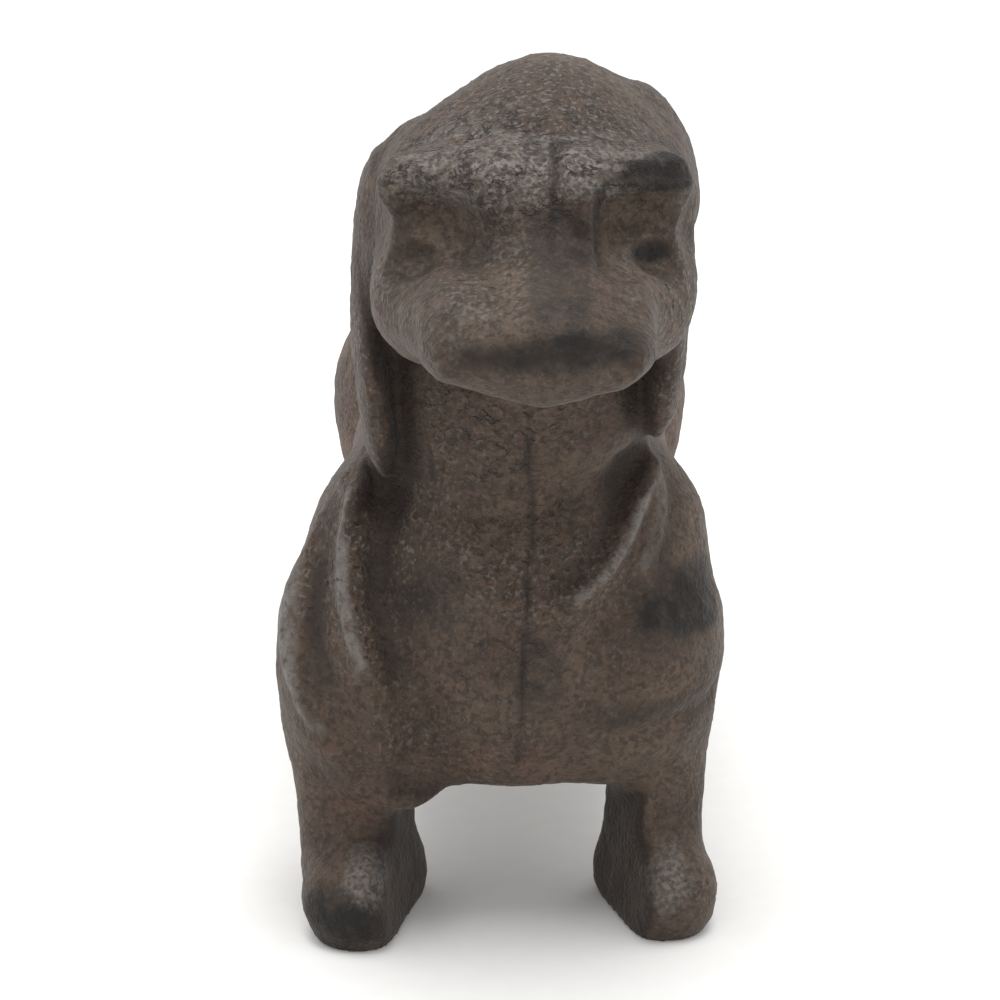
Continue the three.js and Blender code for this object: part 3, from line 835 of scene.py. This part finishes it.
# Two short cuts on the throat, and a scratch below them
strokes = drawn([[-8.9, 57], [-8.7, 54.2]], 0.3) + drawn([[-7.4, 56.8], [-7.5, 55.3]], 0.3)
scratch = drawn([[-14.3, 54.3], [-6, 53.9], [0.6, 54.1]], 0.3)
# A dark band of painted shade along the elbow crease
elbow_crease_shade = drawn([[11, 26.4], [14.5, 27.2], [18, 28.2], [22, 29]], 0.9)
panel = drawn([[5.6, 43], [5.2, 38], [4.9, 35.4], [5.8, 30.5]], 0.5)
strip = soft_step(4, 2.4, np.abs(points[:, 0] - 4.7)) * soft_step(76.5, 80.5, points[:, 2])
strip *= soft_step(89, 87.6, points[:, 2]) * front
lid_shadow = drawn([[9, 83], [8.7, 85], [8.7, 89], [10.4, 90.8], [13.9, 91.2], [18, 90.6]], 0.5)
lid = drawn([[7.8, 84], [7.5, 89.2], [9.4, 92], [13.6, 92.5], [18, 91.9]], 0.6)
relief -= 0.3 * strokes + 0.15 * scratch + 0.5 * slit + 0.35 * loop + 0.4 * mouth + 0.35 * parting
relief += 0.25 * strip + 0.4 * panel + 0.3 * lid - 0.35 * lid_shadow
folds = [
    [[-16.8, 57.9], [-16.3, 52.5], [-17.8, 50.1], [-18.8, 44.6], [-18.4, 39.6], [-16.4, 33]],
    [[15.4, 55.5], [15, 52], [12.7, 47.5], [10.2, 44.2], [6.9, 41.8]],
    [[16, 54], [16.8, 50], [15.9, 46.6], [14.6, 44.2]],
    [[-19.2, 54], [-22, 48.3], [-24.2, 41.8], [-25.2, 36.4], [-25, 32.2], [-23.4, 28.2], [-21.4, 25.3]],
]
ridges = sum(drawn(line, 0.8) for line in folds)
beside = [
    [[-13.2, 56], [-12.8, 51.5], [-14, 47.5], [-15, 43], [-14.6, 38], [-13, 33]],
    [[18, 57], [18.6, 52], [18, 47.5], [16.8, 43.5]],
    [[12.6, 55], [12.2, 51.6], [10.4, 48], [7.6, 45], [4.4, 43]],
    [[-20.2, 50], [-21.8, 44], [-22, 37], [-20.4, 31]],
]
hollows = sum(drawn(line, 1.7) for line in beside)
relief += 0.7 * ridges - 0.55 * hollows
print("relief now between", round(relief.min(), 2), "and", round(relief.max(), 2), "mm")

# %% The relief is laid on
points += normals * (relief * grounded)[:, None]
points[:, 2] = np.maximum(points[:, 2], 0)

# %% A mesh of the figure
middle = (points.min(0) + points.max(0)) / 2
placed = (points - [middle[0], middle[1], 0] + [*(cad_low + cad_high)[:2] / 2, 0]) * MM
mesh = bpy.data.meshes.new("dog_figurine")
mesh.from_pydata(placed.tolist(), [], quads.tolist())
mesh.shade_smooth()
dog = bpy.data.objects.new("dog_figurine", mesh)
bpy.context.scene.collection.objects.link(dog)
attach(dog, "root")
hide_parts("dog")
print("the casting has", len(mesh.polygons), "faces; the clay's middle was at", np.round(middle, 2))

# %% [markdown]
# ## Old cast iron
#
# Grey iron that was never painted turns brown, and handling keeps it that way: a dull oxide skin, greyer
# where hands and cloth rub it. The high places, here the brows and the toes, are worn nearly to the metal,
# and the edges of the folds are worn and also get a painted highlight. The bridge is sooty and the rump is
# redder with rust. Painted shade darkens the hollows, the sinks beside the folds, the inner sides of the
# legs, the left brow's lower edge, the eyes, the mouth, the shoulders under their folds and the elbow crease,
# and it grows towards the bottom. The nose, the front of the muzzle, the chest and the foot of one forepaw
# are darker too.
#
# The mesh itself knows where its hollows and ridges are. A probe that goes out along the normal meets other
# clay sooner in a hollow, and a probe that goes in leaves the clay sooner under a ridge. Both are kept on
# the vertices, with the worn, sooty, shaded and rusty places, and the material reads them.

# %% What each vertex knows about its place


def hollow(size):
    """How closed in the skin is, from nought on the flat to about one in a deep hollow, where shade is
    painted.
    """
    return np.clip(1 - figure_distance(skin_points + normals * size) / size, 0, 1)


def ridge(size):
    """How sharply the skin juts out, from nought on the flat to about one on a crest."""
    return np.clip(1 + figure_distance(skin_points - normals * size) / size, 0, 1)


def keep(name, values):
    """Puts a value on each vertex, where the material finds it by name."""
    mesh.attributes.new(name, "FLOAT", "POINT").data.foreach_set("value", values.astype(np.float32))
    print(name, "goes from", round(float(values.min()), 2), "to", round(float(values.max()), 2))


worn = 0.9 * patch([-5, 91.5], [10.5, 3.4]) + patch([8.5, 92], [8, 2.6])  # the brows
worn += 0.3 * patch([0, 97], [10, 4]) + 0.3 * patch([-1, 83], [5, 4]) + 0.3 * patch([-8, 79.5], [5, 4])
worn += 0.95 * patch([-16.4, 8], [2.6, 3]) + 0.75 * patch([17.6, 7.5], [2.6, 3.4])  # the paws
worn += 0.5 * patch([12.3, 81.6], [1.6, 2.4])
soot_and_shade = 1.8 * patch([16.4, 91.2], [4.8, 1.7]) + 0.4 * strip  # painted shade along the left brow's lower edge, and soot on the bridge
# A little soot on the bridge, and painted shade in the left eye's pupil
soot_and_shade += 0.2 * patch([4.6, 82], [4, 7]) + 0.9 * patch([14.2, 82.8], [2, 1.2])
# Painted shade in the right eye's socket, and the nose darker
soot_and_shade += 0.25 * patch([-10, 83], [1.6, 2]) + 0.6 * patch([9.4, 77.6], [5, 1.4])
# Painted shade along the mouth, and the front of the muzzle darker
soot_and_shade += 0.45 * patch([3, 76.6], [9.5, 1.7]) + 0.3 * patch([3, 73.5], [9, 4])
soot_and_shade += 0.9 * patch([20.4, 39.6], [6.4, 3.4]) + 0.35 * patch([18.6, 36.6], [6.6, 3])  # painted shade under the shoulder folds
# Painted shade in the hollow of the other shoulder, and the chest a little darker
soot_and_shade += 0.55 * patch([-11, 41], [5.5, 4.5], 0.9) + 0.12 * patch([1, 45], [13, 16])
# Painted shade along the elbow crease, and the low chest darker
soot_and_shade += 0.3 * patch([14, 27.5], [7, 1.6]) + 0.35 * patch([3, 33], [3, 5])
# The foot of one forepaw darker, and painted shade growing towards the bottom
soot_and_shade += 0.85 * patch([-19.8, 3.6], [4.4, 3.4]) + 0.25 * soft_step(40, 14, points[:, 2]) * front
rusty = soft_step(30, 80, skin_points[:, 1])
rusty += 0.6 * patch([-3, 21], [8, 4]) + 0.5 * patch([-19, 19], [5, 6])
sand = soft_step(0.1, 0.6, wave) * 0.5 + patch([-18, 45], [8, 9]) + patch([-17, 76], [4, 14])
sand += patch([20, 74], [4, 16]) + patch([0, 97], [16, 5])
# The inner sides of the legs, low down, which get painted shade
inner_leg_shade = soft_step(0.3, 0.8, -normals[:, 0] * np.sign(points[:, 0])) * soft_step(19, 15, points[:, 2])
# Dark cuts and joints, with painted shade in the mouth, under the lid and along the elbow crease
dark_lines_and_shade = 0.8 * strokes + 0.4 * scratch + slit + loop + 0.8 * mouth + 0.95 * parting
dark_lines_and_shade += 0.8 * lid_shadow + 0.5 * elbow_crease_shade
# These marks are known from the front alone, so they stay on what faces it
facing = soft_step(-0.05, 0.45, -normals[:, 1])
# Painted shade: darkest in the hollows, in the sinks beside the folds and on the inner sides of the legs
keep("hollow", 0.6 * hollow(1.5) + 0.7 * hollow(4) + 0.45 * np.clip(hollows, 0, 1) + 0.6 * inner_leg_shade)
# The ridges, which are rubbed and also get a painted highlight
keep("ridge", ridge(1.2) + 0.8 * np.clip(ridges, 0, 1))
keep("worn", np.clip(worn * facing, 0, 1))
keep("soot_and_shade", np.clip(soot_and_shade * facing, 0, 1))
keep("rusty", np.clip(rusty, 0, 1))
keep("cracked", np.clip(0.5 * forehead + 0.5 * chest + 0.6 * throat, 0, 1))
keep("wrinkled", np.clip(brows + 0.5 * crown + 0.12, 0, 1))
keep("sandy", np.clip(sand, 0, 1))
keep("line", np.clip(dark_lines_and_shade, 0, 1))

# %% [markdown]
# The material is built from a few layers, each from real sizes in millimetres. Rough oxide is a dielectric
# crust that scatters, bare iron is a metal that reflects, so the worn mask drives the metallic value as
# well as the colour.

# %% A kit for the materials


def linear(hex_colour):
    """An sRGB colour such as #6b5d51 as the linear colour that a shader wants."""
    parts = [int(hex_colour[i:i + 2], 16) / 255 for i in (1, 3, 5)]
    return (*[v / 12.92 if v <= 0.04045 else ((v + 0.055) / 1.055) ** 2.4 for v in parts], 1)


def node(tree, kind, inputs=(), output=0, **settings):
    """Adds a node, sets its options and gives its inputs, in order or by name, values or links."""
    new = tree.nodes.new("ShaderNode" + kind)
    for name, value in settings.items():
        setattr(new, name, value)
    for name, value in inputs.items() if isinstance(inputs, dict) else enumerate(inputs):
        if isinstance(value, bpy.types.NodeSocket):
            tree.links.new(value, new.inputs[name])
        else:
            new.inputs[name].default_value = value
    return new.outputs[output]


# %% [markdown]
# Most of the nodes below are sums, products and smooth ramps, so their options get short names. A ramp's
# inputs are the value, where it starts and ends, and what it gives at the start and the end.

# %% Options that many nodes share
TIMES = {"operation": "MULTIPLY"}
PLUS = {"operation": "ADD"}
MINUS = {"operation": "SUBTRACT"}
TIMES_PLUS = {"operation": "MULTIPLY_ADD"}
HIGHER = {"operation": "MAXIMUM"}
SMOOTH = {"interpolation_type": "SMOOTHSTEP"}
MIXED_COLOUR = 2  # the place of the colour among a mix node's outputs
FIRST_COLOUR = 6  # and among its inputs
SECOND_COLOUR = 7

# %% Sand-cast iron with a brown oxide patina
PATINA = linear("#4a3b30")
PATINA_PALE = linear("#594a3e")
# The dark patina, also used as painted shade in the hollows, the mouth and the elbow crease
PATINA_DARK_AND_SHADE = linear("#211a16")
# Bare iron, also used for painted glints and painted highlights
WORN_IRON_AND_HIGHLIGHT = linear("#736f6b")
# Black for soot, also used as painted shade
SOOT_AND_SHADE = linear("#121110")
RUST = linear("#634a3e")
MM_PER_METRE = 1000

iron = bpy.data.materials.new("cast_iron_brown_oxide_patina")
iron.use_nodes = True
tree = iron.node_tree
shader = tree.nodes["Principled BSDF"]
in_metres = node(tree, "TexCoord", output="Object")
place = node(tree, "VectorMath", {0: in_metres, "Scale": MM_PER_METRE}, operation="SCALE")
kept = {}
for name in ("hollow", "ridge", "worn", "soot_and_shade", "rusty", "cracked", "wrinkled", "sandy", "line"):
    kept[name] = node(tree, "Attribute", output="Fac", attribute_name=name)

# %% [markdown]
# Four noises do most of the work. Their scales are one over the size of a lump in millimetres: stains of a
# centimetre, a mottling, specks, and the print of the sand, whose grains are about half a millimetre.

# %% Stains, mottling, specks and sand
clouds = node(tree, "TexNoise", {"Vector": place, "Scale": 1 / 11, "Detail": 3, "Roughness": 0.6})
mottle = node(tree, "TexNoise", {"Vector": place, "Scale": 1 / 2.4, "Detail": 5, "Roughness": 0.7})
specks = node(tree, "TexNoise", {"Vector": place, "Scale": 1 / 0.9, "Detail": 4, "Roughness": 0.7})
sand_grain = node(tree, "TexNoise", {"Vector": place, "Scale": 1 / 0.55, "Detail": 2, "Roughness": 0.5})
uneven = node(tree, "Math", (mottle, specks), **PLUS)

# %% Where the iron is bare, where it is rubbed and given a painted highlight, and where soot and painted shade blacken it
worn_ragged = node(tree, "Math", (uneven, 0.9, kept["worn"]), **TIMES_PLUS)
worn_share = node(tree, "MapRange", (worn_ragged, 1, 1.85), **SMOOTH)
worn_grain = node(tree, "MapRange", (sand_grain, 0.4, 0.6, 0.2, 0.9), **SMOOTH)
worn_here = node(tree, "Math", (worn_share, worn_grain), **TIMES)
# On the ridges the iron is rubbed, and the same mask paints a highlight there
on_ridge = node(tree, "MapRange", (kept["ridge"], 0.12, 0.8), **SMOOTH)
in_spots = node(tree, "MapRange", (mottle, 0.3, 0.62), **SMOOTH)
off_hollow = node(tree, "MapRange", (kept["hollow"], 0.3, 0.05), **SMOOTH)
rubbed_and_highlight = node(tree, "Math", (on_ridge, in_spots), **TIMES)
rubbed_and_highlight = node(tree, "Math", (rubbed_and_highlight, off_hollow), **TIMES)
soot_and_shade_ragged = node(tree, "Math", (uneven, 0.9, kept["soot_and_shade"]), **TIMES_PLUS)
soot_and_shade_share = node(tree, "MapRange", (soot_and_shade_ragged, 1, 1.85), **SMOOTH)
soot_and_shade_grain = node(tree, "MapRange", (mottle, 0.36, 0.58, 0.65, 1), **SMOOTH)
soot_and_shade_here = node(tree, "Math", (soot_and_shade_share, soot_and_shade_grain), **TIMES)

# %% Painted glints: specks in the worn iron's colour where the sand's grain stands high, for light caught by the grains
glint_share = node(tree, "Math", (kept["sandy"], 0.45, 0.2), **TIMES_PLUS)
off_deep = node(tree, "MapRange", (kept["hollow"], 0.8, 0.1), **SMOOTH)
glint_share = node(tree, "Math", (glint_share, off_deep), **TIMES)
glint = node(tree, "MapRange", (sand_grain, 0.52, 0.7), **SMOOTH)
glint = node(tree, "Math", (glint, glint_share), **TIMES)

# %% [markdown]
# The cracks are a net, like the real ones on the brows: the edges between the cells round scattered points,
# with the points' surroundings stirred by noise first so that no edge runs straight. Finer marks than the
# mesh can hold stay in the material, and the ones that show a shadow are in the mesh already.

# %% Cracks
stir = node(tree, "TexNoise", {"Vector": place, "Scale": 0.5, "Detail": 4}, "Color")
stir = node(tree, "VectorMath", {0: stir, "Scale": 3.2}, operation="SCALE")
stirred = node(tree, "VectorMath", (place, stir), **PLUS)
stretched = node(tree, "VectorMath", (stirred, (0.6, 1, 1)), **TIMES)
net_inputs = {"Vector": stretched, "Scale": 1 / 1.5}
net_edge = node(tree, "TexVoronoi", net_inputs, "Distance", feature="DISTANCE_TO_EDGE")
crack_line = node(tree, "MapRange", (net_edge, 0.1, 0.015), **SMOOTH)
crack_noise = node(tree, "TexNoise", {"Vector": place, "Scale": 1 / 2.6, "Detail": 3, "Roughness": 0.6})
crack_spots = node(tree, "MapRange", (crack_noise, 0.44, 0.62), **SMOOTH)
crack = node(tree, "Math", (kept["cracked"], crack_spots), **TIMES)
crack = node(tree, "Math", (crack_line, crack), **TIMES)

# %% Pits
pit_distance = node(tree, "TexVoronoi", {"Vector": stirred, "Scale": 1 / 1.1}, "Distance")
pits = node(tree, "MapRange", (pit_distance, 0.36, 0.12), **SMOOTH)
pit_share = node(tree, "Math", (kept["sandy"], 0.7, 0.35), **TIMES_PLUS)
pit_spots = node(tree, "MapRange", (mottle, 0.42, 0.6), **SMOOTH)
pits = node(tree, "Math", (pits, pit_share), **TIMES)
pits = node(tree, "Math", (pits, pit_spots), **TIMES)

# %% Wrinkles, as the lines where a stretched noise passes through its middle value
wrinkle_place = node(tree, "VectorMath", (place, (0.5, 0.8, 1)), **TIMES)
wrinkle_inputs = {"Vector": wrinkle_place, "Scale": 0.9, "Detail": 5, "Roughness": 0.65, "Distortion": 0.3}
off_middle = node(tree, "Math", (node(tree, "TexNoise", wrinkle_inputs), 0.5), **MINUS)
off_middle = node(tree, "Math", (off_middle,), operation="ABSOLUTE")
wrinkles = node(tree, "MapRange", (off_middle, 0.05, 0.008), **SMOOTH)
wrinkles = node(tree, "Math", (wrinkles, kept["wrinkled"]), **TIMES)
wrinkles = node(tree, "Math", (wrinkles, pit_spots), **TIMES)
crack = node(tree, "Math", (crack, wrinkles), **HIGHER)
cut_in = node(tree, "Math", (crack, pits), **HIGHER)

# %% Colour, from the ground up: each layer is a share and a colour
rust_clouds = node(tree, "MapRange", (clouds, 0.2, 0.7), **SMOOTH)
layers = [
    (node(tree, "MapRange", (clouds, 0.35, 0.65), **SMOOTH), PATINA_PALE),
    (node(tree, "MapRange", (mottle, 0.56, 0.36, 0, 0.25), **SMOOTH), PATINA_DARK_AND_SHADE),
    # Painted shade in the hollows
    (node(tree, "MapRange", (kept["hollow"], 0.1, 0.8, 0, 0.75), **SMOOTH), PATINA_DARK_AND_SHADE),
    (node(tree, "Math", (kept["rusty"], rust_clouds), **TIMES), RUST),
    (node(tree, "MapRange", (specks, 0.56, 0.4, 0, 0.6), **SMOOTH), PATINA_DARK_AND_SHADE),
    # Painted glints on the sand's grain
    (glint, WORN_IRON_AND_HIGHLIGHT),
    # Rubbed iron on the ridges, with a painted highlight
    (node(tree, "Math", (rubbed_and_highlight, 0.9), **TIMES), WORN_IRON_AND_HIGHLIGHT),
    (node(tree, "Math", (worn_here, 0.8), **TIMES), WORN_IRON_AND_HIGHLIGHT),
    # Black from soot and from painted shade
    (node(tree, "Math", (soot_and_shade_here, 0.95), **TIMES), SOOT_AND_SHADE),
    (node(tree, "Math", (cut_in, 0.9), **TIMES), PATINA_DARK_AND_SHADE),
    # Dark cuts and joints, and painted shade in the mouth, under the lid and along the elbow crease
    (node(tree, "Math", (kept["line"], 0.85), **TIMES), PATINA_DARK_AND_SHADE),
]
colour = PATINA
for share, paint in layers:
    mix_inputs = {0: share, FIRST_COLOUR: colour, SECOND_COLOUR: paint}
    colour = node(tree, "Mix", mix_inputs, MIXED_COLOUR, data_type="RGBA")
tree.links.new(colour, shader.inputs["Base Color"])
print("the colour has", len(layers) + 1, "layers")

# %% How metallic and how rough
whole = node(tree, "Math", (1, crack), **MINUS)
bare = node(tree, "Math", (rubbed_and_highlight, 0.7), **TIMES)
bare = node(tree, "Math", (worn_here, bare), **HIGHER)
bare = node(tree, "Math", (bare, whole), **TIMES)
tree.links.new(node(tree, "Math", (bare, 0.35), **TIMES), shader.inputs["Metallic"])
# Dust clings to old iron and shows at the rims, and a crust full of pores mirrors less than a smooth one
shader.inputs["Sheen Weight"].default_value = 0.1
shader.inputs["Sheen Roughness"].default_value = 0.3
shader.inputs["Specular IOR Level"].default_value = 0.3
dull = node(tree, "Math", (specks, 0.16, 0.6), **TIMES_PLUS)
dull = node(tree, "Math", (bare, -0.16, dull), **TIMES_PLUS)
tree.links.new(dull, shader.inputs["Roughness"])

# %% The finest relief, as bumps of a true height
CRACK_DEPTH = 0.22 * MM
GRAIN_HEIGHT = 0.24 * MM
MOTTLE_HEIGHT = 0.3 * MM
marks = node(tree, "Math", (1, cut_in), **MINUS)
bump = node(tree, "Bump", {"Distance": CRACK_DEPTH, "Height": marks})
bump = node(tree, "Bump", {"Distance": MOTTLE_HEIGHT, "Height": mottle, "Normal": bump})
bump = node(tree, "Bump", {"Distance": GRAIN_HEIGHT, "Height": sand_grain, "Normal": bump})
tree.links.new(bump, shader.inputs["Normal"])
mesh.materials.append(iron)
print("the iron has", len(tree.nodes), "nodes")

# %% [markdown]
# ## The studio
#
# The figurine stands on white card in a white room, with one soft light above, a little to the front. Card
# isn't perfectly even: its fibres show as a very faint mottling, here in patches of a few millimetres.

# %% Floor and light
FLOOR_REACH = 3  # metres to each side
FIBRE_PATCH = 3 * MM
FIBRE_HEIGHT = 0.02 * MM
card = bpy.data.materials.new("white_card_matte")
card.use_nodes = True
card_tree = card.node_tree
card_shader = card_tree.nodes["Principled BSDF"]
card_place = node(card_tree, "TexCoord", output="Object")
fibres = node(card_tree, "TexNoise", {"Vector": card_place, "Scale": 1 / FIBRE_PATCH, "Detail": 4})
card_inputs = {0: fibres, FIRST_COLOUR: linear("#f2f1ef"), SECOND_COLOUR: linear("#f7f7f5")}
card_colour = node(card_tree, "Mix", card_inputs, MIXED_COLOUR, data_type="RGBA")
card_tree.links.new(card_colour, card_shader.inputs["Base Color"])
card_bump = node(card_tree, "Bump", {"Distance": FIBRE_HEIGHT, "Height": fibres})
card_tree.links.new(card_bump, card_shader.inputs["Normal"])
card_shader.inputs["Roughness"].default_value = 0.85

floor_mesh = bpy.data.meshes.new("floor")
corners = [(-FLOOR_REACH, -FLOOR_REACH, 0), (FLOOR_REACH, -FLOOR_REACH, 0)]
corners += [(FLOOR_REACH, FLOOR_REACH, 0), (-FLOOR_REACH, FLOOR_REACH, 0)]
floor_mesh.from_pydata(corners, [], [(0, 1, 2, 3)])
floor_mesh.materials.append(card)
floor = bpy.data.objects.new("floor", floor_mesh)
bpy.context.scene.collection.objects.link(floor)
world = bpy.data.worlds.new("studio")
world.use_nodes = True
world.node_tree.nodes["Background"].inputs["Color"].default_value = (1, 1, 1, 1)
world.node_tree.nodes["Background"].inputs["Strength"].default_value = 1
bpy.context.scene.world = world
bpy.context.scene.view_settings.view_transform = "Standard"


def softbox(name, place, size, watts):
    """A square soft light that points at the dog's middle, placed in metres."""
    light = bpy.data.lights.new(name, "AREA")
    light.size = size
    light.energy = watts
    lamp = bpy.data.objects.new(name, light)
    lamp.location = place
    lamp.rotation_euler = (Vector((0, 0, 0.05)) - lamp.location).to_track_quat("-Z", "Y").to_euler()
    bpy.context.scene.collection.objects.link(lamp)
    print(name, "gives", watts, "W")


softbox("top_softbox", place=Vector((0, -0.15, 0.8)), size=0.5, watts=4)
